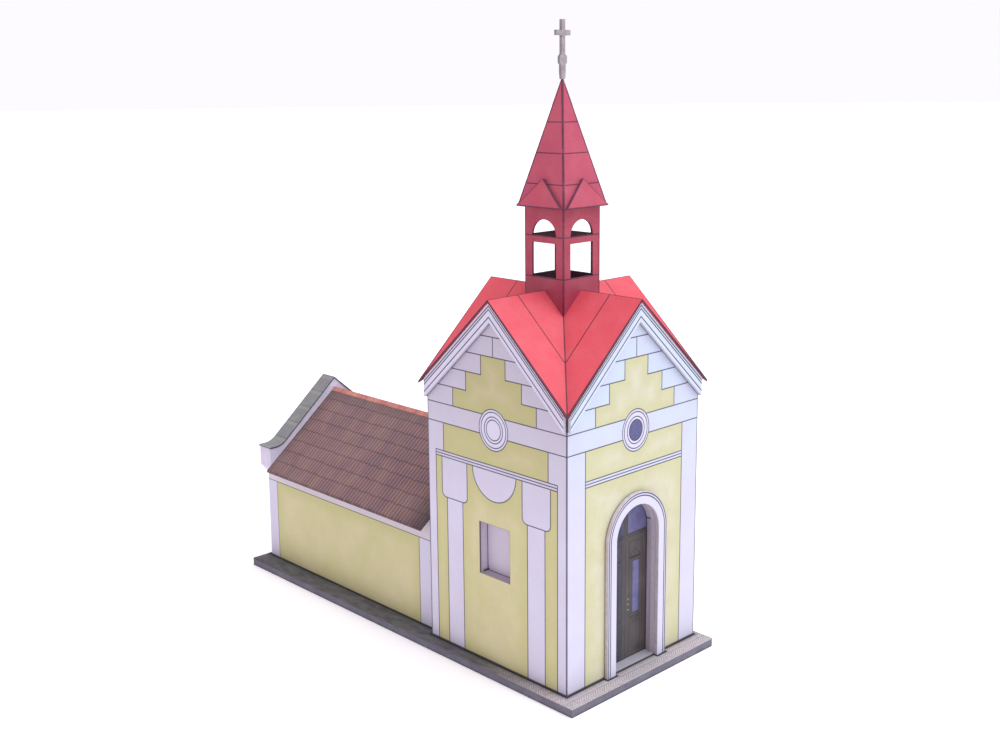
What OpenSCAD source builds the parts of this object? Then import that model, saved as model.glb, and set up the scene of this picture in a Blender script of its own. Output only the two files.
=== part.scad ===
// Card model of a small chapel: a square tower with four gables, a cross-gabled
// roof, an open belfry, a spire and a cross, and a lower rear wing behind it.
// X runs along the door wall, -Y is the front, Z is up. The origin is the centre
// of the underside of the base board.

/* [Base board] */
// Thickness of the board under everything
board_t = 1.7; // [1:0.1:4]
// Thickness of the printed paving sheet on the board
paving_t = 0.2; // [0.1:0.05:0.5]
// Board left showing in front of the door wall
margin_front = 4.1; // [2:0.1:12]
// Board left showing beside the left wall
margin_left = 2.9; // [2:0.1:12]
// Board left beside the right wall
margin_right = 1.4; // [1.4:0.1:12]
// Board left showing behind the rear wall
margin_back = 1.1; // [0.5:0.1:12]

/* [Tower] */
// Width and depth of the square tower
tower_w = 40; // [32:0.5:60]
// Height of the tower walls at their corners
tower_h = 57.3; // [48:0.5:80]
// Rise of each gable above the wall corners
gable_rise = 18.5; // [12:0.5:26]
// Thickness of every upright wall
wall_t = 1; // [0.6:0.1:2]
// Width of the raised cornice along each gable, square to the slope
rake_w = 2.95; // [1.5:0.05:5]
// How far the raised cornices and the door surround stand off the wall
raised_t = 1; // [0.5:0.1:2]
// How far the tower roof reaches past the walls
roof_over = 1.35; // [1.1:0.05:3]
// Thickness of the folded roof sheets
sheet_t = 0.4; // [0.25:0.05:1]

/* [Door] */
// Clear width of the arched doorway
door_w = 13; // [8:0.5:20]
// Height of the straight door jambs
door_jamb_h = 28; // [18:0.5:34]
// Width of the raised band round the doorway
door_band = 2.6; // [1:0.1:5]
// Distance of the door leaf behind the wall face
door_depth = 2.35; // [1.5:0.05:6]
// Thickness of the door leaf, the doorway lining and the niche lining
lining_t = 0.4; // [0.25:0.05:1]
// Thickness of the threshold
threshold_t = 0.3; // [0.2:0.05:1]

/* [Niches] */
// Width of the niche in each side wall
niche_w = 8.8; // [5:0.1:14]
// Height of the niche
niche_h = 11.1; // [6:0.1:18]
// Height of the niche floor above the paving
niche_sill = 18.7; // [8:0.1:26]
// Depth of the niche
niche_depth = 2.3; // [1.5:0.1:6]

/* [Belfry and spire] */
// Width of the square belfry
belfry_w = 10.8; // [9:0.1:16]
// Thickness of the belfry walls
belfry_t = 0.5; // [0.4:0.05:1]
// Clear width of the belfry openings
bay_w = 6.7; // [4.5:0.1:8]
// Height of the lower, square-headed openings
bay_h = 7; // [5:0.1:12]
// Height of their sills above the tower ridges
bay_sill = 2.6; // [1.5:0.1:6]
// Height of the bar between the lower and the arched openings
bay_bar = 1.4; // [0.8:0.05:4]
// Wall left above the crown of the arched openings
bay_head = 2.35; // [1:0.05:5]
// Height of the spire from its eaves to its point
spire_h = 26; // [15:0.5:40]
// How far the spire eaves reach past the belfry walls
spire_over = 1.1; // [0.5:0.05:2]
// Height of the small gables at the foot of the spire
gablet_h = 5.7; // [3:0.1:8]
// Width of the small gables at their foot
gablet_w = 12.4; // [6:0.1:12.8]
// Thickness of the board the small gables are cut from
gablet_t = 0.7; // [0.4:0.05:1.5]

/* [Cross] */
// Height of the cross above the point of the spire
cross_h = 11; // [8:0.1:20]
// Span of its arms
cross_span = 4.1; // [3:0.1:8]
// Width of its shaft and arms
cross_bar = 1.05; // [0.8:0.05:2]
// Thickness of the card it is cut from
cross_t = 0.7; // [0.5:0.05:2]
// Width of the neck that carries it
neck_w = 1.35; // [0.9:0.05:2.5]
// Width of the neck at its foot, astride the point of the spire
neck_foot = 1; // [0.6:0.05:2]
// Width of the knob above the neck
knob_w = 2.1; // [1.2:0.05:3]
// Diameter of the knob's round top and foot
knob_h = 2.4; // [1.5:0.05:4]
// Height of the middle of the knob above the point of the spire
knob_z = 3.15; // [2:0.05:5]
// Distance of the arms below the top
arm_drop = 2.6; // [1:0.05:5]

/* [Rear wing] */
// Width of the rear wing
wing_w = 36; // [28:0.5:40]
// Length of the rear wing behind the tower
wing_l = 64.7; // [40:0.5:90]
// Height of its side walls
wing_h = 26.1; // [20:0.1:32]
// Rise from the wall tops to the underside of its ridge
wing_rise = 14.7; // [10:0.1:16]
// How far its roof hangs over the side walls
wing_eaves = 3.3; // [3:0.05:5]
// Gap between its roof and the tower wall
wing_gap = 0.3; // [0.1:0.05:1]
// How much wider that gap is at the eaves than at the ridge
wing_trim = 1.3; // [0.1:0.1:3]
// Width of the ridge strip on plan
ridge_w = 1.8; // [1:0.1:4]
// Thickness of the ridge strip
ridge_t = 0.2; // [0.1:0.05:0.5]

/* [Rear gable] */
// Thickness of the parapet that closes the wing, front to back
parapet_l = 4.5; // [2:0.1:8]
// Height of the parapet point above the wing's wall tops
parapet_rise = 18; // [16:0.1:20]
// Height of the flat ends of the coping above the wall tops
coping_foot = 3.4; // [2:0.1:5]
// Fall of the coping for each millimetre across
coping_slope = 0.866; // [0.7:0.01:1]
// Radius of the bend where the coping turns level
coping_bend = 4.9; // [2:0.1:8]
// Thickness of the coping, measured upright
coping_t = 0.35; // [0.2:0.05:1]
// How far the coping reaches past the faces below it
coping_over = 0.2; // [0.05:0.05:1]
// How far the kneelers stand out from the side walls
kneeler_w = 2.1; // [1:0.1:3]
// Height of the slanted underside of the kneelers
kneeler_slant = 2.5; // [1:0.1:4]
// Depth of the kneelers below the coping, on their outer face
kneeler_drop = 4.7; // [3:0.1:7]

/* [Hidden] */
$fn = 64;
// Cutters reach this far past what they cut
past = 1;
base_w = margin_left + tower_w + margin_right;
base_l = margin_front + tower_w + wing_l + margin_back;
// Centre line of the chapel, face of the door wall and top of the paving
mid_x = -base_w / 2 + margin_left + tower_w / 2;
front_y = -base_l / 2 + margin_front;
floor_z = board_t + paving_t;
half_w = tower_w / 2;
// Fall of the tower roof for each millimetre across, and the sheet's upright thickness
pitch = gable_rise / half_w;
sheet_v = sheet_t * sqrt(1 + pitch * pitch);
ridge_h = tower_h + gable_rise + sheet_v;
rake_v = rake_w * sqrt(1 + pitch * pitch);
// Belfry levels above the paving
sill_h = ridge_h + bay_sill;
spring_h = sill_h + bay_h + bay_bar;
spire_z = spring_h + bay_w / 2 + bay_head;
spire_half = belfry_w / 2 + spire_over;
spire_point = spire_z + spire_h;
// Run across for each millimetre up the spire, and its sheet measured across
spire_run = spire_half / spire_h;
spire_sheet = sheet_t * sqrt(1 + spire_run * spire_run);
// Rear wing
wing_half = wing_w / 2;
wing_pitch = wing_rise / wing_half;
// Its roof's reach each side of the ridge, and the reach of the slanted cut at its near end
wing_reach = wing_half + wing_eaves;
wing_cut = wing_reach + past;
wing_sheet = sheet_t * sqrt(1 + wing_pitch * wing_pitch);
wing_y = tower_w;
wing_end = tower_w + wing_l;
parapet_y = wing_end - parapet_l;
// Outer end of the coping, measured from the centre line
coping_end = wing_half + kneeler_w + coping_over;
coping_apex = wing_h + parapet_rise;
coping_low = wing_h + coping_foot;
// Where the coping's slope would meet its level foot
coping_turn = (coping_apex - coping_low) / coping_slope;
coping_tangent = coping_bend * tan(atan(coping_slope) / 2);
// Straight pieces that make up the bend
bend_steps = 10;
arm_z = cross_h - arm_drop;

// ---- placing helpers -------------------------------------------------------

// Puts a piece on the paving, with x from the centre line and y from the door wall
module on_floor() translate([mid_x, front_y, floor_z]) children();

// Turns a piece made for the front of the tower to side n:
// 0 front, 1 right, 2 back, 3 left
module tower_side(n)
  on_floor() translate([0, half_w, 0]) rotate([0, 0, 90 * n]) translate([0, -half_w, 0]) children();

// Stands a flat outline, drawn in x and z, from y to y + depth
module upright(y, depth)
  translate([0, y + depth, 0]) rotate([90, 0, 0]) linear_extrude(depth) children();

// Cuts the two ends of a wall of width w at 45 degrees, so that walls meet at the corner
module mitred(w, height)
  intersection() {
    children();
    translate([0, 0, -past]) linear_extrude(height + 2 * past)
      polygon([[-w / 2, 0], [w / 2, 0], [0, w / 2]]);
  }

// ---- outlines in x and z ---------------------------------------------------

// A wall with a gable: half width, height at the corners, height at the point
module gable_outline(half, low, high)
  polygon([[-half, 0], [half, 0], [half, low], [0, high], [-half, low]]);

// An arch on straight jambs
module arch_outline(w, jamb) {
  translate([-w / 2, 0]) square([w, jamb]);
  translate([0, jamb]) circle(w / 2);
}

// One side of the coping's top, from its outer end up to the point: level foot,
// round bend, then the slope
coping_curve = [
  [coping_end, coping_low],
  for (step = [0:bend_steps])
    let (turned = atan(coping_slope) * step / bend_steps)
      [coping_turn + coping_tangent - coping_bend * sin(turned),
       coping_low + coping_bend * (1 - cos(turned))],
  [0, coping_apex]
];

// The area under the top of the coping, lowered by drop
module under_coping(drop) {
  last = len(coping_curve) - 1;
  other_side = [for (i = [last - 1:-1:0]) [-coping_curve[i][0], coping_curve[i][1]]];
  translate([0, -drop])
    polygon(concat([[-coping_end, 0], [coping_end, 0]], coping_curve, other_side));
}

// ---- base ------------------------------------------------------------------

module base_board() color("dimgray")
  translate([-base_w / 2, -base_l / 2, 0]) cube([base_w, base_l, board_t]);

module paving_sheet() color("rosybrown")
  translate([-base_w / 2, -base_l / 2, board_t]) cube([base_w, base_l, paving_t]);

// ---- tower walls -----------------------------------------------------------

module tower_wall() color("lavender")
  mitred(tower_w, ridge_h) upright(0, wall_t) difference() {
    gable_outline(half_w, tower_h, tower_h + gable_rise);
    children();
  }

module front_wall() tower_side(0) tower_wall() arch_outline(door_w, door_jamb_h);

module side_wall(n) tower_side(n) tower_wall()
  translate([-niche_w / 2, niche_sill]) square([niche_w, niche_h]);

module right_wall() side_wall(1);

module left_wall() side_wall(3);

module back_wall() tower_side(2) tower_wall();

// Raised board along both slopes of one gable
module rake_cornice(n) color("ghostwhite")
  tower_side(n) upright(-raised_t, raised_t)
    polygon([[-half_w, tower_h], [0, tower_h + gable_rise], [half_w, tower_h],
             [half_w, tower_h - rake_v], [0, tower_h + gable_rise - rake_v],
             [-half_w, tower_h - rake_v]]);

module front_rake_cornice() rake_cornice(0);

module right_rake_cornice() rake_cornice(1);

module back_rake_cornice() rake_cornice(2);

module left_rake_cornice() rake_cornice(3);

// ---- doorway ---------------------------------------------------------------

module door_surround() color("ghostwhite")
  on_floor() upright(-raised_t, raised_t) difference() {
    arch_outline(door_w + 2 * door_band, door_jamb_h);
    arch_outline(door_w, door_jamb_h);
    translate([-door_w / 2, -past]) square([door_w, door_jamb_h]);
  }

module door_reveal() color("lavender")
  on_floor() upright(wall_t, door_depth - wall_t) difference() {
    arch_outline(door_w + 2 * lining_t, door_jamb_h);
    arch_outline(door_w, door_jamb_h);
    translate([-door_w / 2, -past]) square([door_w, door_jamb_h]);
  }

module door_leaves() color("dimgray")
  on_floor() upright(door_depth, lining_t) arch_outline(door_w + 2 * lining_t, door_jamb_h);

module threshold() color("whitesmoke")
  on_floor() translate([-door_w / 2, 0, 0]) cube([door_w, door_depth, threshold_t]);

// ---- niches ----------------------------------------------------------------

// A shallow box behind the hole in a side wall
module niche(n) color("ghostwhite")
  tower_side(n) difference() {
    translate([-niche_w / 2 - lining_t, wall_t, niche_sill - lining_t])
      cube([niche_w + 2 * lining_t, niche_depth - wall_t + lining_t, niche_h + 2 * lining_t]);
    translate([-niche_w / 2, wall_t - past, niche_sill])
      cube([niche_w, niche_depth - wall_t + past, niche_h]);
  }

module right_niche() niche(1);

module left_niche() niche(3);

// ---- tower roof ------------------------------------------------------------

// Both gabled roofs of the tower as one solid, lowered by drop and made bigger by more
module cross_gables(drop, more) {
  reach = half_w + roof_over + more;
  foot = tower_h - gable_rise - drop;
  for (turn = [0, 90])
    translate([0, half_w, 0]) rotate([0, 0, turn]) upright(-reach, 2 * reach)
      polygon([[-reach, foot], [reach, foot],
               [reach, ridge_h - drop - pitch * reach], [0, ridge_h - drop],
               [-reach, ridge_h - drop - pitch * reach]]);
}

module tower_roof() color("tomato")
  on_floor() difference() {
    cross_gables(0, 0);
    cross_gables(sheet_v, past);
  }

// ---- belfry ----------------------------------------------------------------

// Height of the inside face of the spire sheet where it stands over the belfry walls
function belfry_top() =
  spire_z + (spire_half - spire_sheet - belfry_w / 2) / spire_run;

module belfry_wall(n) color("palevioletred")
  on_floor() translate([0, half_w, 0]) rotate([0, 0, 90 * n]) translate([0, -belfry_w / 2, 0])
    mitred(belfry_w, spire_point) upright(0, belfry_t) difference() {
      translate([-belfry_w / 2, 0]) square([belfry_w, belfry_top()]);
      polygon([[-half_w, 0], [half_w, 0], [half_w, tower_h], [half_w, ridge_h - pitch * half_w],
               [0, ridge_h], [-half_w, ridge_h - pitch * half_w]]);
      translate([-bay_w / 2, sill_h]) square([bay_w, bay_h]);
      translate([0, spring_h]) intersection() {
        circle(bay_w / 2);
        translate([-bay_w, 0]) square([2 * bay_w, bay_w]);
      }
    }

module belfry_front_wall() belfry_wall(0);

module belfry_right_wall() belfry_wall(1);

module belfry_back_wall() belfry_wall(2);

module belfry_left_wall() belfry_wall(3);

// ---- spire -----------------------------------------------------------------

// A solid square pyramid: half width at z, height; extended downwards by skirt
module pyramid(half, z, height, skirt) {
  spread = half * (height + skirt) / height;
  translate([0, half_w, 0]) intersection_for(turn = [0, 90])
    rotate([0, 0, turn]) upright(-spread, 2 * spread)
      polygon([[-spread, z - skirt], [spread, z - skirt], [0, z + height]]);
}

module spire() color("palevioletred")
  on_floor() difference() {
    pyramid(spire_half, spire_z, spire_h, 0);
    pyramid(spire_half - spire_sheet, spire_z, spire_h - spire_sheet / spire_run, past);
  }

// A small gable cut from board and laid on one face of the spire, its foot level with the eaves
module gablet(n) color("palevioletred")
  on_floor() translate([0, half_w, 0]) rotate([0, 0, 90 * n]) translate([0, -spire_half, spire_z])
    rotate([-atan(spire_run), 0, 0]) upright(-gablet_t, gablet_t)
      polygon([[-gablet_w / 2, 0], [gablet_w / 2, 0],
               [0, gablet_h * sqrt(1 + spire_run * spire_run)]]);

module spire_front_gablet() gablet(0);

module spire_right_gablet() gablet(1);

module spire_back_gablet() gablet(2);

module spire_left_gablet() gablet(3);

// ---- cross -----------------------------------------------------------------

module cross() color("gray")
  on_floor() difference() {
    upright(half_w - cross_t / 2, cross_t) translate([0, spire_point]) {
      polygon([[-neck_foot / 2, -neck_w / 2], [neck_foot / 2, -neck_w / 2], [neck_w / 2, neck_w / 2],
               [neck_w / 2, knob_z], [-neck_w / 2, knob_z], [-neck_w / 2, neck_w / 2]]);
      intersection() {
        translate([0, knob_z]) circle(knob_h / 2);
        translate([-knob_w / 2, 0]) square([knob_w, cross_h]);
      }
      translate([-cross_bar / 2, knob_z]) square([cross_bar, cross_h - knob_z]);
      translate([-cross_span / 2, arm_z - cross_bar / 2]) square([cross_span, cross_bar]);
    }
    pyramid(spire_half, spire_z, spire_h, 0);
  }

// ---- rear wing -------------------------------------------------------------

// Side wall of the wing, for side -1 or 1, with its rear end cut at 45 degrees
module wing_side_wall(side) color("lavender")
  on_floor() linear_extrude(wing_h) polygon([
    [side * wing_half, wing_y], [side * wing_half, wing_end],
    [side * (wing_half - wall_t), wing_end - wall_t], [side * (wing_half - wall_t), wing_y]]);

module wing_left_wall() wing_side_wall(-1);

module wing_right_wall() wing_side_wall(1);

module wing_rear_wall() color("lavender")
  on_floor() translate([0, wing_end, 0]) rotate([0, 0, 180])
    mitred(wing_w, wing_h + wing_rise) upright(0, wall_t)
      gable_outline(wing_half, wing_h, wing_h + wing_rise);

// A folded sheet over the wing: reach across, upright thickness, height of its
// underside above the underside of the wing roof
module wing_sheet_outline(reach, t, lift) {
  low = wing_h + lift - wing_pitch * (reach - wing_half);
  high = wing_h + wing_rise + lift;
  polygon([[-reach, low], [0, high], [reach, low], [reach, low + t], [0, high + t], [-reach, low + t]]);
}

module wing_roof() color("rosybrown")
  on_floor() difference() {
    upright(wing_y + wing_gap, wing_l - parapet_l - wing_gap)
      wing_sheet_outline(wing_reach, wing_sheet, 0);
    for (side = [-1, 1])
      linear_extrude(tower_h)
        polygon([[0, wing_y], [0, wing_y + wing_gap],
                 [side * wing_cut, wing_y + wing_gap + wing_trim * wing_cut / wing_reach],
                 [side * wing_cut, wing_y]]);
  }

module ridge_strip() color("indianred")
  on_floor() upright(wing_y + wing_gap, wing_l - parapet_l - wing_gap)
    wing_sheet_outline(ridge_w / 2, ridge_t, wing_sheet);

// ---- rear gable ------------------------------------------------------------

module parapet() color("lavender")
  on_floor() upright(parapet_y, parapet_l) difference() {
    intersection() {
      under_coping(coping_t);
      translate([-wing_half, wing_h]) square([wing_w, parapet_rise]);
    }
    gable_outline(wing_half, wing_h, wing_h + wing_rise);
  }

// Block that carries the foot of the coping beyond a side wall
module kneeler(side) color("lavender")
  on_floor() upright(parapet_y, parapet_l) scale([side, 1]) intersection() {
    under_coping(coping_t);
    polygon([[wing_half, coping_low - coping_t - kneeler_drop - kneeler_slant],
             [wing_half + kneeler_w, coping_low - coping_t - kneeler_drop],
             [wing_half + kneeler_w, coping_apex], [wing_half, coping_apex]]);
  }

module left_kneeler() kneeler(-1);

module right_kneeler() kneeler(1);

module coping(side) color("darkgray")
  on_floor() upright(parapet_y - coping_over, parapet_l + 2 * coping_over) intersection() {
    difference() {
      under_coping(0);
      under_coping(coping_t);
      translate([-coping_end - past, 0]) square([2 * coping_end + 2 * past, wing_h]);
    }
    scale([side, 1]) square([coping_end, coping_apex]);
  }

module left_coping() coping(-1);

module right_coping() coping(1);

base_board();
paving_sheet();
front_wall();
left_wall();
right_wall();
back_wall();
front_rake_cornice();
left_rake_cornice();
right_rake_cornice();
back_rake_cornice();
door_surround();
door_reveal();
door_leaves();
threshold();
left_niche();
right_niche();
tower_roof();
belfry_front_wall();
belfry_left_wall();
belfry_right_wall();
belfry_back_wall();
spire();
spire_front_gablet();
spire_left_gablet();
spire_right_gablet();
spire_back_gablet();
cross();
wing_left_wall();
wing_right_wall();
wing_rear_wall();
wing_roof();
ridge_strip();
parapet();
left_kneeler();
right_kneeler();
left_coping();
right_coping();
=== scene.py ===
import bpy
import bmesh
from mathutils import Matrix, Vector


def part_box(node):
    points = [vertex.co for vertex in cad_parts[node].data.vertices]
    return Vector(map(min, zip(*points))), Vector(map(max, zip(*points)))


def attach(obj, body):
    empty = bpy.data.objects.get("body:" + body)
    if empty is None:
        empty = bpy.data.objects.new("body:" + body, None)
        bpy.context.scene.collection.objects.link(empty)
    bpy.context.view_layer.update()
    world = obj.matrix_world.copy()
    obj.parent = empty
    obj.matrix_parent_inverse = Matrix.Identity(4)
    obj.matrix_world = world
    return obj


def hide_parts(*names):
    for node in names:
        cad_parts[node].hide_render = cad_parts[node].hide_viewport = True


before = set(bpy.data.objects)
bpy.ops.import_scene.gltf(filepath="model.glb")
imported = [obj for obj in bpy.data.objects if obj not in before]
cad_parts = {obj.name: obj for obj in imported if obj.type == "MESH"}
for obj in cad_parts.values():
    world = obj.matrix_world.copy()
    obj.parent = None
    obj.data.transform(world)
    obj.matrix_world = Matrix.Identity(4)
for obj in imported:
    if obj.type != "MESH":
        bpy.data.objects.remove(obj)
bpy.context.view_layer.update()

# Camera: at the height of the tower roof, off the tower's near left corner,
# with the lens shifted down a little so that the walls lean in only slightly.
camera = bpy.data.objects.new("camera", bpy.data.cameras.new("camera"))
bpy.context.scene.collection.objects.link(camera)
camera.location = (-0.18442, -0.20513, 0.12002)
camera.rotation_euler = (1.386762, 0.009299, -0.765760)
camera.data.lens = 45.0
camera.data.sensor_width = 36.0
camera.data.shift_x = 0.0012
camera.data.shift_y = -0.0529
camera.data.clip_start = 0.005
bpy.context.scene.camera = camera

# Tabletop and light: one wide pale sheet under the model, an even white room,
# and a broad soft lamp high up on the door side.
bpy.context.scene.view_settings.view_transform = "Standard"
room = bpy.data.worlds.new("white_room")
bpy.context.scene.world = room
room.use_nodes = True
room_light = room.node_tree.nodes["Background"]
room_light.inputs["Color"].default_value = (1.0, 0.925, 0.97, 1.0)
room_light.inputs["Strength"].default_value = 0.695
room_wall = room.node_tree.nodes.new("ShaderNodeBackground")
room_wall.inputs["Color"].default_value = (0.985, 0.965, 1.0, 1.0)
room_choice = room.node_tree.nodes.new("ShaderNodeMixShader")
straight_look = room.node_tree.nodes.new("ShaderNodeLightPath")
room.node_tree.links.new(straight_look.outputs["Is Camera Ray"], room_choice.inputs["Fac"])
room.node_tree.links.new(room_light.outputs[0], room_choice.inputs[1])
room.node_tree.links.new(room_wall.outputs[0], room_choice.inputs[2])
room.node_tree.links.new(room_choice.outputs[0], room.node_tree.nodes["World Output"].inputs["Surface"])

lamp = bpy.data.objects.new("soft_lamp", bpy.data.lights.new("soft_lamp", "SUN"))
bpy.context.scene.collection.objects.link(lamp)
lamp.location = (0.3, -0.5, 1.2)
lamp.rotation_euler = Vector((0.20, -0.36, 0.91)).to_track_quat("Z", "Y").to_euler()
lamp.data.angle = 1.1
lamp.data.energy = 2.50
lamp.data.color = (0.80, 0.97, 1.0)

table_mesh = bmesh.new()
bmesh.ops.create_circle(table_mesh, cap_ends=True, segments=96, radius=6.0)
table_data = bpy.data.meshes.new("table_top")
table_mesh.to_mesh(table_data)
table_mesh.free()
table_top = bpy.data.objects.new("table_top", table_data)
bpy.context.scene.collection.objects.link(table_top)
table_finish = bpy.data.materials.new("table_paper")
table_finish.use_nodes = True
table_shader = table_finish.node_tree.nodes["Principled BSDF"]
table_shader.inputs["Base Color"].default_value = (0.92, 0.86, 0.88, 1.0)
table_shader.inputs["Roughness"].default_value = 0.9
table_shader.inputs["Emission Color"].default_value = (1.0, 0.97, 1.0, 1.0)
table_shader.inputs["Emission Strength"].default_value = 0.25
table_data.materials.append(table_finish)

# Base board: grey card 1.7 mm thick, cut to a rectangle with a knife. Its cut
# edge is fuzzy and its corners are rubbed, and it is a little darker along the foot, where it sits on the
# table: painted shade.
mm = 1000


class Reading:
    """A number that varies over a sheet: a distance in millimetres, or a mask from 0 to 1."""

    def __init__(self, tree, socket):
        self.tree, self.socket = tree, socket

    def work(self, operation, *others, clamp=False):
        node = self.tree.nodes.new("ShaderNodeMath")
        node.operation = operation
        node.use_clamp = clamp
        for place, value in zip(node.inputs, (self,) + others):
            if isinstance(value, Reading):
                self.tree.links.new(value.socket, place)
            else:
                place.default_value = value
        return Reading(self.tree, node.outputs[0])

    def __add__(self, other):
        return self.work("ADD", other)

    def __sub__(self, other):
        return self.work("SUBTRACT", other)

    def __rsub__(self, other):
        return self.work("MULTIPLY_ADD", -1.0, other)

    def __mul__(self, other):
        return self.work("MULTIPLY", other)

    def __abs__(self):
        return self.work("ABSOLUTE")

    def above(self, level, blur=0.05):
        """1 where the reading is more than the level, 0 where it is less."""
        return self.work("MULTIPLY_ADD", 1 / blur, 0.5 - level / blur, clamp=True)

    def below(self, level, blur=0.05):
        return self.work("MULTIPLY_ADD", -1 / blur, 0.5 + level / blur, clamp=True)


def most(first, *rest):
    for reading in rest:
        first = first.work("MAXIMUM", reading)
    return first


def least(first, *rest):
    for reading in rest:
        first = first.work("MINIMUM", reading)
    return first


class Sheet:
    """A card or paper finish whose print is laid out in millimetres from a chosen point."""

    def __init__(self, name, colour, start, roughness=0.6):
        self.material = bpy.data.materials.new(name)
        self.material.use_nodes = True
        self.tree = self.material.node_tree
        self.shader = self.tree.nodes["Principled BSDF"]
        self.shader.inputs["Roughness"].default_value = roughness
        self.shader.inputs["Specular IOR Level"].default_value = 0.25
        place = self.tree.nodes.new("ShaderNodeTexCoord")
        ruler = self.tree.nodes.new("ShaderNodeMapping")
        ruler.inputs["Scale"].default_value = (mm, mm, mm)
        ruler.inputs["Location"].default_value = -mm * Vector(start)
        self.tree.links.new(place.outputs["Object"], ruler.inputs["Vector"])
        self.place = ruler.outputs["Vector"]
        self.x, self.y, self.z = self.parts(self.place)
        self.nx, self.ny, self.nz = (abs(part) for part in self.parts(place.outputs["Normal"]))
        self.colour = colour
        self.height = None

    def parts(self, vector):
        split = self.tree.nodes.new("ShaderNodeSeparateXYZ")
        self.tree.links.new(vector, split.inputs[0])
        return [Reading(self.tree, output) for output in split.outputs]

    def cloud(self, size, detail=2.0, roughness=0.5, stretch=(1, 1, 1)):
        """Soft uneven patches about this many millimetres across."""
        noise = self.tree.nodes.new("ShaderNodeTexNoise")
        noise.inputs["Scale"].default_value = 1 / size
        noise.inputs["Detail"].default_value = detail
        noise.inputs["Roughness"].default_value = roughness
        if stretch == (1, 1, 1):
            self.tree.links.new(self.place, noise.inputs["Vector"])
        else:
            pull = self.tree.nodes.new("ShaderNodeMapping")
            pull.inputs["Scale"].default_value = stretch
            self.tree.links.new(self.place, pull.inputs["Vector"])
            self.tree.links.new(pull.outputs["Vector"], noise.inputs["Vector"])
        return Reading(self.tree, noise.outputs["Fac"])

    def lay(self, colour, mask, blend="MIX"):
        """Prints a colour over the sheet where the mask is 1."""
        mix = self.tree.nodes.new("ShaderNodeMix")
        mix.data_type = "RGBA"
        mix.blend_type = blend
        self.tree.links.new(mask.socket, mix.inputs["Factor"])
        for spot, value in ((6, self.colour), (7, colour)):
            if isinstance(value, tuple):
                mix.inputs[spot].default_value = (*value, 1.0)
            else:
                self.tree.links.new(value, mix.inputs[spot])
        self.colour = mix.outputs[2]

    def raise_by(self, reading):
        self.height = reading if self.height is None else self.height + reading

    def finish(self, nodes, grain=0.02, speckle=0.35):
        """Adds the paper's fibres and joins everything to the shader, then dresses the pieces."""
        fibre = self.cloud(0.35, 3.0, 0.65)
        self.lay((0.30, 0.27, 0.30), fibre.above(0.62, 0.3) * (speckle * 0.25), "MULTIPLY")
        self.lay((1.0, 1.0, 1.0), self.cloud(5.0, 2.0).above(0.62, 0.4) * 0.03, "SCREEN")
        self.raise_by((fibre - 0.5) * grain)
        bump = self.tree.nodes.new("ShaderNodeBump")
        bump.inputs["Distance"].default_value = 0.001
        bump.inputs["Strength"].default_value = 1.0
        self.tree.links.new(self.height.socket, bump.inputs["Height"])
        self.tree.links.new(bump.outputs["Normal"], self.shader.inputs["Normal"])
        self.tree.links.new(self.colour, self.shader.inputs["Base Color"])
        rough = self.shader.inputs["Roughness"]
        uneven = 0.22
        sheen = self.cloud(1.6, 2.0).work("MULTIPLY_ADD", uneven, rough.default_value - uneven / 2)
        self.tree.links.new(sheen.socket, rough)
        for node in nodes:
            piece = node if isinstance(node, bpy.types.Object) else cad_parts[node]
            piece.data.materials.clear()
            piece.data.materials.append(self.material)
            for face in piece.data.polygons:
                face.material_index = 0


def soft_cut(node, width, sharp=0.5):
    """A copy of a card part with its knife-cut edges very slightly rounded, as they are on real card."""
    shape = bmesh.new()
    shape.from_mesh(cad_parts[node].data)
    bmesh.ops.remove_doubles(shape, verts=shape.verts, dist=1e-6)
    bmesh.ops.dissolve_limit(shape, angle_limit=0.01, verts=shape.verts, edges=shape.edges)
    keen = [edge for edge in shape.edges if len(edge.link_faces) == 2 and edge.calc_face_angle(0) > sharp]
    bmesh.ops.bevel(shape, geom=keen, offset=width, offset_type="OFFSET", affect="EDGES", segments=2,
                    profile=0.5, material=-1, clamp_overlap=True)
    mesh = bpy.data.meshes.new(node + "_card")
    shape.to_mesh(mesh)
    shape.free()
    piece = bpy.data.objects.new(node + "_card", mesh)
    bpy.context.scene.collection.objects.link(piece)
    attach(piece, "root")
    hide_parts(node)
    return piece


board = soft_cut("base_board", 0.00018)
grey = Sheet("grey_board", (0.165, 0.156, 0.205), (0, 0, 0), roughness=0.8)
grey.lay((0.075, 0.068, 0.080), grey.cloud(1.2, 4.0, 0.7, (1, 1, 6)).above(0.55, 0.3) * 0.5)
# painted shade along the foot of the board's edge, where it meets the table
grey.lay((0.055, 0.048, 0.060), grey.z.below(0.35, 0.5) * 0.7)
grey.lay((0.24, 0.23, 0.26), grey.cloud(3.0, 3.0, 0.6).above(0.60, 0.2) * 0.35)
grey.finish([board], grain=0.05)

# Paving sheet: thin paper printed with small bricks laid zigzag, pasted on the
# board. It is printed darker along the foot of the walls and toward the rear: painted shade.
tower_low, tower_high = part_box("front_wall")
side_low, side_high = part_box("left_wall")
chapel_centre = Vector(((tower_low.x + tower_high.x) / 2, (side_low.y + side_high.y) / 2, tower_low.z))
half_tower = 20.0
wing_inset = 2.0
paving = Sheet("paving_print", (0.540, 0.450, 0.480), (0, 0, 0), roughness=0.7)
brick = 0.66
zigzag = abs(paving.y.work("PINGPONG", brick * 2))
run = (paving.x + zigzag).work("FLOORED_MODULO", brick)
paving.lay((0.13, 0.11, 0.115), run.below(0.15, 0.12) * 0.8)
paving.lay((0.11, 0.095, 0.10), zigzag.below(0.08, 0.10) * 0.6)
paving.lay((0.30, 0.25, 0.25), paving.cloud(0.9, 1.0).above(0.56, 0.1) * 0.35)
aside = abs(paving.x - chapel_centre.x * mm)
behind = paving.y - chapel_centre.y * mm
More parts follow.
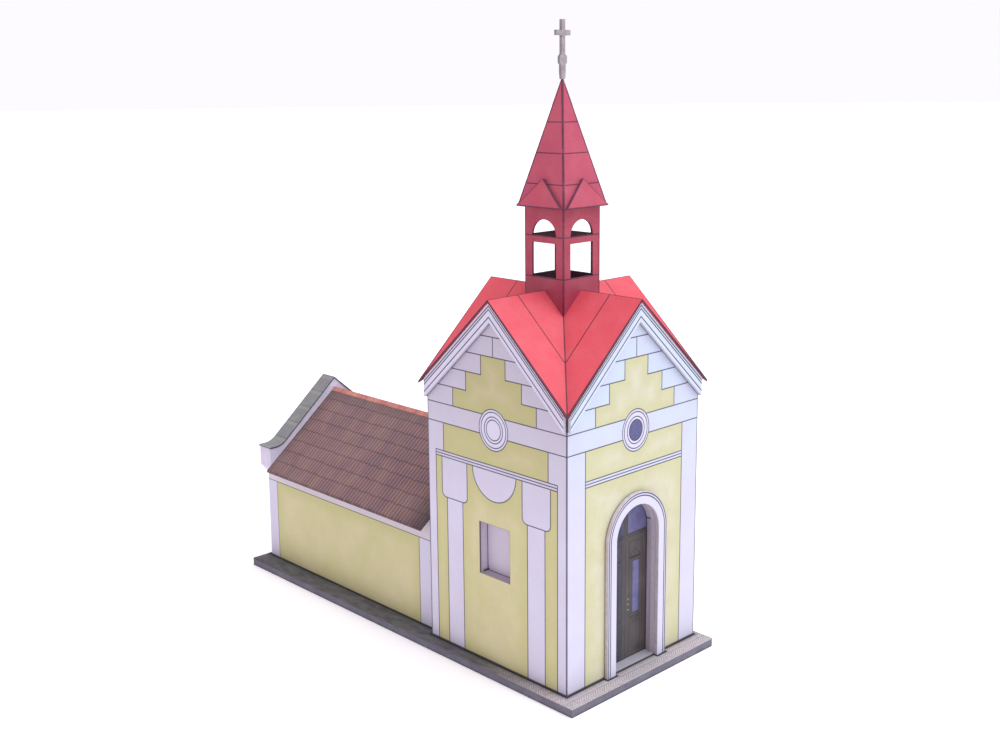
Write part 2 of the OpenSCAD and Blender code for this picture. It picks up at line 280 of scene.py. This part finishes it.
tower_reach = most(aside, abs(behind))
wing_side = most(aside + wing_inset, mm * chapel_centre.y - paving.y)
wall_gap = least(tower_reach, wing_side) - half_tower
door_low, door_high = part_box("door_surround")
door_middle = mm / 2 * (door_low.x + door_high.x)
jamb_middle, jamb_half = 7.8, 1.3
jamb_gap = most(abs(abs(paving.x - door_middle) - jamb_middle) - jamb_half, mm * door_low.y - paving.y)
# painted shade toward the rear, with darker blotches in it
rear = behind.above(-7.0, 22.0)
paving.lay((0.100, 0.102, 0.115), rear * 0.90)
paving.lay((0.030, 0.030, 0.035), rear * paving.cloud(2.4, 3.0, 0.6, (1.6, 0.6, 1)).above(0.54, 0.25) * 0.5)
# painted shade along the foot of the walls, and a thin near-black line of painted shade right at the foot of
# the walls and door jambs
paving.lay((0.050, 0.044, 0.050), wall_gap.below(0.7, 1.4) * 0.55)
paving.lay((0.018, 0.017, 0.024), least(wall_gap, jamb_gap).below(0.46, 0.2) * 0.95)
paving.finish(["paving_sheet"])

# Tower walls: four cards printed with white bands, pilasters and stepped blocks
# round yellow fields, each folded to the next, with a fine dark line on every edge.
# The front and back print is paler and bluer than the sides', and the sides grow
# darker toward the top: painted light and shade, not a difference in the card.
white_card = (0.665, 0.630, 0.780)
yellow_pale = (0.650, 0.590, 0.345)
yellow_deep = (0.560, 0.530, 0.245)
# lighter copies of the yellow for the front and back walls: painted light
lit_yellow_pale = (0.685, 0.645, 0.490)
lit_yellow_deep = (0.590, 0.570, 0.320)
cut_card = (0.58, 0.52, 0.62)
ink = (0.028, 0.026, 0.060)
past = 99
gable_point, tower_eaves = 75.8, 57.3
band_low, band_high = 48.5, 52.6
ledge_low, ledge_middle, ledge_high = 41.2, 41.8, 42.4
round_z, round_edge = 49.8, 4.3
shaft_top, shaft_sides = 32.5, (9.4, 14.2)
niche_side, niche_sill, niche_head = 4.4, 18.7, 29.8
blocks_top = 68.7
step_levels = (56.6, 60.6, 64.65)
step_edges = (12.0, 8.0, 3.5)


def level_line(u, z, height, start, end):
    return most(abs(z - height), start - u, u - end)


def plumb_line(u, z, side, low, high):
    return most(abs(u - side), low - z, z - high)


def inside(u, z, start, end, low, high):
    """Distance in from the nearest side of a rectangle, below 0 outside it."""
    return least(u - start, end - u, z - low, high - z)


def tower_print(name, nodes, along, square, front):
    sheet = Sheet(name, white_card, chapel_centre, roughness=0.55)
    u = abs(getattr(sheet, along))
    z = sheet.z
    ring_u = u * (1.065 if front else 1.03)
    ring = (ring_u * ring_u + (z - round_z) * (z - round_z)).work("SQRT") * (1.0 if front else 1.015)
    side = 14.8 if front else 15.1
    reach = side if front else 17.55
    # painted light and shade toward the top: the front and back white turns bluer, the sides grow darker
    high = z.above(44.0, 30.0)
    if front:
        sheet.lay((0.595, 0.665, 0.800), high)
    # yellow fields
    gable_field = most(inside(u, z, -past, step_edges[0], band_high, step_levels[0]),
                       inside(u, z, -past, step_edges[1], band_high, step_levels[1]),
                       inside(u, z, -past, step_edges[2], band_high, step_levels[2]))
    upper_field = inside(u, z, -past, side, ledge_high, band_low)
    lower_field = inside(u, z, -past, reach, -past, ledge_low)
    if not front:
        round_corner = (abs(u - 11.85) - 2.55).work("MAXIMUM", 0.0)
        drop = (33.8 - z).work("MAXIMUM", 0.0)
        capital_edge = (round_corner * round_corner + drop * drop).work("SQRT") - 1.3
        shaft = inside(u, z, *shaft_sides, -past, shaft_top)
        lunette = (u * u + (z - ledge_low) * (z - ledge_low)).work("SQRT") - 6.3
        lower_field = least(lower_field, capital_edge, shaft * -1.0, lunette)
    field = least(most(gable_field, upper_field, lower_field), ring - round_edge)
    printed = field.above(0.0, 0.04)
    cloud = sheet.cloud(7.0, 3.0, 0.55)
    stains = sheet.cloud(3.2, 3.0, 0.6).above(0.54, 0.22)
    sheet.lay(lit_yellow_deep if front else yellow_deep, printed)
    sheet.lay(lit_yellow_pale if front else yellow_pale,
              printed * field.above(1.6, 3.6) * cloud.above(0.40, 0.45))
    sheet.lay((0.60, 0.48, 0.34), printed * stains * 0.25)
    sheet.lay((0.60, 0.52, 0.66), field.below(0.0) * cloud.above(0.52, 0.3) * 0.25)
    # painted shade toward the top of the sides, and a faint tint on the front and back
    sheet.lay((0.97, 0.98, 1.0) if front else (0.80, 0.78, 0.76), high, "MULTIPLY")
    # fine lines
    lines = [abs(gable_field), plumb_line(u, z, side, ledge_high, band_low),
             level_line(u, z, band_low, -past, past), level_line(u, z, band_high, -past, past),
             level_line(u, z, step_levels[0], step_edges[1], past),
             level_line(u, z, step_levels[1], step_edges[2], past),
             level_line(u, z, step_levels[2], -past, past), level_line(u, z, blocks_top, -past, past),
             plumb_line(u, z, 0.0, step_levels[2], blocks_top), plumb_line(u, z, reach, -past, ledge_high)]
    lines += [level_line(u, z, level, -past, reach) for level in (ledge_high, ledge_middle, ledge_low)]
    if not front:
        lines += [abs(capital_edge).work("MAXIMUM", z - ledge_low), most(abs(lunette), z - ledge_low)]
        lines += [plumb_line(u, z, edge, -past, shaft_top) for edge in shaft_sides]
    clear = ring - round_edge
    drawn = most(least(*lines), clear * -1.0)
    rings = least(abs(clear), abs(ring - 3.73), abs(ring - 2.76), abs(ring - 2.13))
    sheet.lay(white_card, clear.below(0.0))
    if front:
        glass = ring.below(2.15)
        sheet.lay((0.095, 0.096, 0.225), glass)
        sheet.lay((0.17, 0.165, 0.33), glass * sheet.cloud(0.5, 3.0, 0.7).above(0.55, 0.1) * 0.6)
    drawn = least(drawn, rings)
    sheet.lay(ink, drawn.below(0.11, 0.09) * 0.92)
    # folded corners are touched in darker, and the dark line along the foot, where the wall meets the base,
    # is painted shade
    corner = (half_tower - u).below(0.24, 0.14) * sheet.cloud(0.8, 2.0).above(0.16, 0.1)
    foot_shade = z.below(0.32, 0.2)
    sheet.lay((0.035, 0.030, 0.045), most(corner, foot_shade) * 0.85)
    sheet.raise_by(drawn.below(0.12, 0.12) * -0.012)
    if not front:
        niche = inside(u, z, -past, niche_side, niche_sill, niche_head)
        sheet.lay((0.20, 0.16, 0.15), abs(niche).below(0.10, 0.12) * 0.7)
    cut = 1.0 - getattr(sheet, square).above(0.8, 0.1)
    sheet.lay(cut_card, cut)
    sheet.lay((0.36, 0.30, 0.34), cut * sheet.cloud(0.6, 3.0, 0.6).above(0.55, 0.3) * 0.35)
    if not front:
        mitre = sheet.ny.above(0.8, 0.1) * abs(sheet.x).above(19.62, 0.12)
        sheet.lay((0.065, 0.048, 0.055), mitre * 0.85)
    # horizontal cut faces, such as the sill and head of the niche holes, printed darker: painted shade
    sheet.lay((0.30, 0.25, 0.29), sheet.nz.above(0.8, 0.1) * 0.7)
    sheet.finish(nodes)


tower_print("front_wall_print", ["front_wall"], "x", "ny", True)
tower_print("back_wall_print", ["back_wall"], "x", "ny", True)
tower_print("side_wall_print", ["left_wall", "right_wall"], "y", "nx", False)

# Raked cornices: 1 mm white board in a long V on each gable, printed with three
# fine lines on its face. Its cut edges are greyer, with a dark line of painted shade where they meet the
# wall.
gable_fall = (gable_point - tower_eaves) / half_tower


def raked_print(name, nodes, along, square, colour):
    sheet = Sheet(name, colour, chapel_centre, roughness=0.55)
    u = abs(getattr(sheet, along))
    depth = (u * -gable_fall + gable_point) - sheet.z
    face = getattr(sheet, square).above(0.8, 0.1)
    across = abs(sheet.y if along == "x" else sheet.x)
    sheet.lay((0.60, 0.54, 0.68), sheet.cloud(4.0, 2.0).above(0.5, 0.3) * 0.3)
    sheet.lay((0.44, 0.37, 0.42), (1.0 - face) * 0.5)
    # painted shade: a dark line on the cut edges where they meet the wall
    sheet.lay((0.040, 0.032, 0.045), (1.0 - face) * across.below(20.34, 0.16) * 0.9)
    lines = least(abs(depth - 0.75), abs(depth - 1.4), abs(depth - 2.95))
    sheet.lay(ink, lines.below(0.155, 0.09) * face * 0.97)
    sheet.finish(nodes)


raked = {name: soft_cut(name + "_rake_cornice", 0.00010)
         for name in ("front", "back", "left", "right")}
# the front and back cornices are printed bluer than the side ones: painted light
raked_print("front_cornice_print", [raked["front"], raked["back"]], "x", "ny", (0.605, 0.675, 0.810))
raked_print("side_cornice_print", [raked["left"], raked["right"]], "y", "nx", white_card)

# Door surround: an arch cut from the same 1 mm board, printed with two lines
# that follow its outer edge. Its cut edges are brownish, darkened toward the wall with painted shade.
arch_centre = Vector((chapel_centre.x, door_low.y, door_high.z - (door_high.x - door_low.x) / 2))
surround = soft_cut("door_surround", 0.00012)
band = Sheet("door_band_print", white_card, arch_centre, roughness=0.55)
rise = band.z.work("MAXIMUM", 0.0)
arch_reach = (band.x * band.x + rise * rise).work("SQRT")
out_edge = mm / 2 * (door_high.x - door_low.x)
band_face = band.ny.above(0.8, 0.1)
band.lay((0.50, 0.41, 0.37), (1.0 - band_face) * band.cloud(1.5, 3.0, 0.6).above(0.35, 0.5) * 0.8)
band_lines = least(abs(arch_reach - (out_edge - 0.30)), abs(arch_reach - (out_edge - 0.82)))
band.lay(ink, band_lines.below(0.125, 0.06) * band_face * 0.97)
band.lay((0.22, 0.19, 0.24), (out_edge - arch_reach).below(0.07, 0.08) * band_face * 0.6)
# painted shade on the cut edges toward the wall
outer_cut = (1.0 - band_face) * (arch_reach - out_edge).above(-0.5, 0.1)
band.lay((0.17, 0.115, 0.095), outer_cut * band.y.above(0.74, 0.3) * 0.75)
band.lay((0.120, 0.095, 0.115), (1.0 - band_face) * band.y.above(0.88, 0.14) * 0.6)
band.finish([surround])

# Doorway lining and threshold: white card folded into the opening, grey in the
# corners where it was scored.
lining_depth = mm * (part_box("door_reveal")[1].y - arch_centre.y)
lining = Sheet("lining_card", (0.50, 0.44, 0.52), arch_centre, roughness=0.6)
lining.lay((0.32, 0.26, 0.29), lining.cloud(0.9, 3.0, 0.6, (1, 1.4, 0.1)).above(0.48, 0.3) * 0.6)
lining.lay((0.035, 0.028, 0.034), most(abs(lining.z - 1.5), 1.4 - lining.y).below(0.17, 0.10) * 0.92)
lining.lay((0.030, 0.024, 0.030), (lining_depth - lining.y).below(0.26, 0.16) * 0.92)
lining.finish(["door_reveal"])
step_sheet = Sheet("threshold_card", (0.44, 0.395, 0.45), arch_centre, roughness=0.65)
step_sheet.lay((0.36, 0.32, 0.36), step_sheet.cloud(1.0, 3.0, 0.6).above(0.5, 0.3) * 0.5)
step_sheet.finish([soft_cut("threshold", 0.00006)])

# Door: dark brown-grey leaves with a glass strip and a little gable ornament on
# each, a transom, and a divided fanlight above, all printed on one card.
door = Sheet("door_print", (0.080, 0.066, 0.068), chapel_centre, roughness=0.5)
u, z = abs(door.x), door.z
glass = (0.130, 0.125, 0.270)
pane = inside(u, z, 0.62, past, 27.3, past)
strip = inside(u, z, 2.2, 4.3, 9.8, 21.1)
door.lay((0.115, 0.098, 0.098), door.cloud(1.0, 3.0, 0.6, (3, 3, 0.15)).above(0.5, 0.3) * 0.6)
glazed = most(pane, strip).above(0.0)
door.lay(glass, glazed)
door.lay((0.20, 0.195, 0.36), glazed * door.cloud(2.5, 2.0).above(0.5, 0.2) * 0.5)
# painted shade on the left leaf's glass
door.lay((0.045, 0.047, 0.085), glazed * door.x.below(-1.2, 2.0) * 0.85)
leaf_top, ornament_foot, hidden = 26.6, 22.1, -9.0
ornament_slope = (z - ornament_foot) - (1.7 - abs(u - 3.0))
ornament_top = most(inside(u, z, 1.3, 4.7, 21.7, ornament_foot),
                    0.12 - abs(ornament_slope) + (z.below(ornament_foot) * hidden))
door_lines = least(abs(pane), abs(strip), abs(z - 27.1), abs(z - leaf_top),
                   plumb_line(u, z, 0.0, -past, leaf_top),
                   abs(inside(u, z, 1.2, 5.3, 1.4, 8.6)), abs(inside(u, z, 1.2, 5.3, 9.0, 25.4)),
                   abs(inside(u, z, 1.8, 4.7, 2.1, 7.9)))
# painted shade over the left leaf
door.lay((0.040, 0.040, 0.066), door.x.below(-0.6, 1.6) * 0.6)
door.lay((0.028, 0.023, 0.026), door_lines.below(0.09, 0.12) * 0.6)
door.lay((0.030, 0.025, 0.030), ornament_top.above(0.0) * 0.85)
knob_x, knob_levels = 0.97, (10.8, 12.0, 13.1)
for knob in knob_levels:
    off = (door.x - knob_x) * 1.7
    spot = (off * off + (z - knob) * (z - knob)).work("SQRT")
    door.lay((0.75, 0.73, 0.72), spot.below(0.15, 0.08) * 0.85)
door.raise_by(door_lines.below(0.12, 0.15) * -0.03)
door.finish(["door_leaves"])

# Niches: shallow white boxes glued behind the holes in the side walls, with a
# dark line on every fold. Their top and bottom faces and lower corners are printed darker: painted shade.
niche_sheet = Sheet("niche_card", (0.61, 0.54, 0.65), chapel_centre, roughness=0.6)
u, z = abs(niche_sheet.y), niche_sheet.z
depth_in = half_tower - abs(niche_sheet.x)
niche_back = 2.22
niche_folds = least(abs(u - niche_side), abs(z - niche_sill), abs(z - niche_head))
niche_lines = niche_folds.work("MAXIMUM", niche_back - depth_in)
# painted shade on the niche's top and bottom faces
niche_sheet.lay((0.40, 0.33, 0.40), niche_sheet.nz.above(0.8, 0.1) * 0.7)
niche_sheet.lay((0.060, 0.045, 0.065), niche_lines.below(0.07, 0.08) * 0.85)
# painted shade in the lower corners
niche_sheet.lay((0.060, 0.045, 0.060), most(abs(u - niche_side), abs(z - niche_sill)).below(0.30, 0.2) * 0.85)
niche_sheet.finish(["left_niche", "right_niche"])

# Tower roof: one red card folded along its ridges and valleys, with inked folds
# and one seam printed on every slope beside the gable. It is darker along the valleys, painted shade, and has
# a dark band of painted shadow along the verges.
roof = Sheet("roof_print", (0.730, 0.084, 0.116), chapel_centre, roughness=0.5)
rx, ry = abs(roof.x), abs(roof.y)
ridge_line = least(rx, ry)
valley = abs(rx - ry)
verge_reach, seam_reach = 21.35, 13.0
verge = verge_reach - most(rx, ry)
seam = abs(most(rx, ry) - seam_reach)
roof.lay((0.81, 0.120, 0.155), roof.cloud(9.0, 3.0, 0.5).above(0.50, 0.35) * 0.5)
# painted shade along the valleys
roof.lay((0.52, 0.055, 0.085), valley.below(1.0, 4.0) * 0.35)
roof.lay((0.060, 0.018, 0.026), least(ridge_line, valley * 0.7, seam).below(0.12, 0.10) * 0.92)
# painted shadow: a dark band along the verges, wider toward the foot
verge_shadow = verge + (roof.z - gable_point) * 0.017
roof.lay((0.085, 0.016, 0.034), verge_shadow.below(0.13, 0.16) * 0.88)
roof.lay((0.070, 0.020, 0.040), (1.0 - roof.nz.above(0.3, 0.1)) * 0.90)
roof.finish([soft_cut("tower_roof", 0.00008)], speckle=0.8)

# Belfry: four pink-red cards with a square and an arched opening in each, printed
# dark inside and darker toward the foot as painted shade, inked at the corners and along the sill and the
# arch springing.
belfry = Sheet("belfry_print", (0.40, 0.055, 0.100), chapel_centre, roughness=0.5)
bx, by = abs(belfry.x), abs(belfry.y)
outer = most(bx, by)
half_belfry, belfry_sill, belfry_spring = 5.4, 78.9, 87.3
near_corner = half_belfry - least(bx, by)
belfry.lay((0.47, 0.062, 0.098), belfry.cloud(5.0, 3.0, 0.55).above(0.5, 0.3) * 0.40)
# painted shade toward the foot of the belfry
belfry.lay((0.31, 0.042, 0.085), (belfry.z - belfry_sill).below(0.0, 3.0) * 0.6)
belfry_lines = least(abs(belfry.z - belfry_sill), abs(belfry.z - belfry_spring)) - 0.02
belfry_folds = near_corner.below(0.27, 0.16) * belfry.cloud(0.7, 2.0).above(0.30, 0.15)
belfry.lay((0.085, 0.022, 0.050), most(belfry_lines.below(0.12, 0.10), belfry_folds) * 0.88)
# painted shade on the inner faces
belfry.lay((0.055, 0.022, 0.040), outer.below(5.28, 0.1) * 0.9)
belfry.finish(["belfry_front_wall", "belfry_left_wall", "belfry_right_wall", "belfry_back_wall"],
              speckle=0.9)

# Spire: one pink-red card folded to a point, with three inked rings and inked
# edges, and a small gable standing at the foot of each face.
spire = Sheet("spire_print", (0.47, 0.080, 0.138), chapel_centre, roughness=0.5)
sx, sy = abs(spire.x), abs(spire.y)
eaves = mm * (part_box("spire")[0].z - chapel_centre.z)
spire.lay((0.56, 0.070, 0.115), spire.cloud(5.0, 3.0, 0.55).above(0.5, 0.3) * 0.45)
ring_heights = (4.7, 10.8, 16.9)
spire_rings = least(*[abs(spire.z - (eaves + height)) for height in ring_heights])
spire_folds = abs(sx - sy).below(0.34, 0.18) * spire.cloud(0.7, 2.0).above(0.32, 0.15)
spire_inked = most(spire_rings.below(0.12, 0.10), spire_folds, (spire.z - eaves).below(0.16, 0.12))
spire.lay((0.075, 0.020, 0.045), spire_inked * 0.85)
# painted shade on the underside at the eaves
spire.lay((0.055, 0.022, 0.040), spire.nz.above(0.9, 0.05) * 0.8)
spire.finish(["spire"], speckle=0.9)

gablet = Sheet("gablet_print", (0.48, 0.078, 0.130), chapel_centre, roughness=0.5)
gx, gy = abs(gablet.x), abs(gablet.y)
gablet_low, gablet_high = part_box("spire_front_gablet")
half_gablet = mm / 2 * (gablet_high.x - gablet_low.x)
gablet_rise = 5.7
gable_foot = gablet.z - eaves - 0.17
gable_side = (half_gablet - least(gx, gy)) * (gablet_rise / half_gablet) - gable_foot
gablet_face = most(gablet.nx, gablet.ny).above(0.93, 0.04)
gablet.lay((0.57, 0.080, 0.120), gablet.cloud(4.0, 3.0, 0.55).above(0.5, 0.3) * 0.40)
gablet.lay((0.075, 0.022, 0.050), least(gable_side, gable_foot).below(0.20, 0.14) * 0.85)
gablet.lay((0.150, 0.042, 0.075), (1.0 - gablet_face) * 0.9)
gablet.finish([soft_cut(side + "_gablet", 0.00005)
               for side in ("spire_front", "spire_left", "spire_right", "spire_back")], speckle=0.9)

# Cross: cut from grey card with a knife, painted pale grey-mauve, its edges
# a little ragged.
cross = Sheet("cross_card", (0.40, 0.34, 0.37), chapel_centre, roughness=0.7)
cross.lay((0.24, 0.20, 0.22), cross.cloud(0.9, 4.0, 0.65).above(0.5, 0.3) * 0.7)
cross.lay((0.20, 0.16, 0.18), (1.0 - cross.ny.above(0.8, 0.1)) * 0.5)
cross.finish([soft_cut("cross", 0.00010)], grain=0.05)

# Rear wing walls: white card, with one long yellow field in a fine line, a band
# under the eaves and a white strip at either end on each side. The rear is plain.
wing = Sheet("wing_wall_print", white_card, (0.0, tower_low.y, chapel_centre.z), roughness=0.55)
wing_field_start, wing_field_end, wing_band = 46.1, 101.0, 20.1
wing_field = inside(wing.y, wing.z, wing_field_start, wing_field_end, -past, wing_band)
wing_printed = wing_field.above(0.0, 0.04)
wing_cloud = wing.cloud(9.0, 3.0, 0.55)
wing.lay(yellow_deep, wing_printed)
wing.lay(yellow_pale, wing_printed * wing_field.above(1.6, 3.6) * wing_cloud.above(0.40, 0.45))
wing.lay((0.60, 0.52, 0.66), wing_field.below(0.0) * wing_cloud.above(0.52, 0.3) * 0.25)
long_side = wing.nx.above(0.8, 0.1)
wing_lines = least(abs(wing_field), abs(wing.z - wing_band))
wing.lay((0.685, 0.600, 0.640), wing.z.above(wing_band + 0.05, 0.1) * long_side * 0.8)
wing.lay(ink, wing_lines.below(0.10, 0.09) * long_side * 0.8)
# painted shade along the foot, where the wall meets the base
wing.lay((0.035, 0.030, 0.045), wing.z.below(0.2, 0.15) * 0.8)
wing.finish(["wing_left_wall", "wing_right_wall", "wing_rear_wall"])

# Parapet and kneelers: white card boxes that close the end of the wing, with
# soft grey patches.
parapet = Sheet("parapet_card", (0.665, 0.610, 0.760), chapel_centre, roughness=0.6)
parapet.lay((0.48, 0.42, 0.50), parapet.cloud(3.0, 3.0, 0.6).above(0.52, 0.3) * 0.3)
parapet.finish(["parapet", "left_kneeler", "right_kneeler"])

# Wing roof: paper printed with eight courses of ribbed brown tiles, folded at
# the ridge, with red, ochre and mauve tiles among them.
wing_start = (chapel_centre.x, tower_low.y, chapel_centre.z)
tile = Sheet("tile_print", (0.240, 0.132, 0.142), wing_start, roughness=0.65)
roof_low, roof_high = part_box("wing_roof")
courses, rib_w = 8, 1.05
course_w = mm / 2 * (roof_high.x - roof_low.x) / courses
rib = tile.y.work("FLOORED_MODULO", rib_w)
rib_number = (tile.y * (1 / rib_w)).work("FLOOR")
rib_step = tile.tree.nodes.new("ShaderNodeTexWhiteNoise")
rib_step.noise_dimensions = "1D"
tile.tree.links.new(rib_number.socket, rib_step.inputs["W"])
down = abs(tile.x) - Reading(tile.tree, rib_step.outputs["Value"]) * 0.22
course = down.work("FLOORED_MODULO", course_w)
which = tile.tree.nodes.new("ShaderNodeCombineXYZ")
tile.tree.links.new(rib_number.socket, which.inputs[0])
tile.tree.links.new((down * (1 / course_w)).work("FLOOR").socket, which.inputs[1])
tile_noise = tile.tree.nodes.new("ShaderNodeTexWhiteNoise")
tile.tree.links.new(which.outputs[0], tile_noise.inputs["Vector"])
lot = Reading(tile.tree, tile_noise.outputs["Value"])
tile.lay((0.300, 0.165, 0.125), (lot * 0.6 + tile.cloud(4.5, 2.0) * 0.4).above(0.60, 0.20) * 0.5)
tile.lay((0.265, 0.118, 0.130), (lot * 0.6 + tile.cloud(7.0, 2.0) * 0.5).below(0.42, 0.25) * 0.55)
tile.lay((0.180, 0.122, 0.158), tile.cloud(5.0, 2.0).below(0.44, 0.15) * 0.45)
rib_shade = abs(rib - rib_w / 2)
tile.lay((0.075, 0.040, 0.044), rib_shade.above(rib_w / 2 - 0.13, 0.20) * 0.72)
tile.lay((0.33, 0.200, 0.190), rib_shade.below(0.14, 0.25) * 0.30)
tile.lay((0.070, 0.038, 0.042), course.above(course_w - 0.18, 0.30) * 0.65)
tile.lay((0.10, 0.085, 0.085), down.below(2.0, 4.0) * 0.45)
# painted shadow: the lower courses beside the tower are darkened
tower_shadow, by_parapet = (tile.y - 43.0).below(2.0, 7.0), (99.9 - tile.y).below(1.5, 4.0)
tile.lay((0.045, 0.034, 0.036), tower_shadow * down.above(13.0, 9.0) * 0.85)
tile.lay((0.12, 0.085, 0.075), by_parapet * 0.5)
tile.raise_by(rib_shade * -0.10)
tile.raise_by(course * 0.03)
tile.finish(["wing_roof"])

# Ridge strip: a narrow orange-red strip folded over the top of the tiles.
ridge = Sheet("ridge_print", (0.52, 0.175, 0.150), wing_start, roughness=0.6)
ridge.lay((0.64, 0.30, 0.20), ridge.cloud(3.0, 2.0).above(0.52, 0.2) * 0.6)
ridge.lay((0.40, 0.13, 0.15), ridge.cloud(2.0, 2.0).below(0.44, 0.2) * 0.6)
ridge.lay((0.20, 0.08, 0.08), ridge.y.work("FLOORED_MODULO", 3.2).below(0.12, 0.15) * 0.6)
ridge.finish(["ridge_strip"])

# Coping: grey paper printed as worn stone blocks, bent over the edge of the
# rear gable, with black cut edges.
coping_start = (chapel_centre.x, 0.0, chapel_centre.z)
coping = Sheet("stone_print", (0.225, 0.212, 0.228), coping_start, roughness=0.65)
block = 3.8
along_slope = abs(coping.x).work("FLOORED_MODULO", block)
stone = coping.cloud(2.2, 3.0, 0.6)
coping.lay((0.275, 0.268, 0.225), stone.above(0.54, 0.15) * 0.5)
coping.lay((0.20, 0.175, 0.205), coping.cloud(3.4, 2.0).above(0.55, 0.15) * 0.45)
coping.lay((0.095, 0.090, 0.10), along_slope.below(0.14, 0.2) * 0.6)
coping.lay((0.32, 0.31, 0.265), abs(along_slope - 0.6).below(0.3, 0.4) * 0.45)
coping.lay((0.035, 0.035, 0.055), coping.ny.above(0.5, 0.1) * 0.92)
coping.finish(["left_coping", "right_coping"])
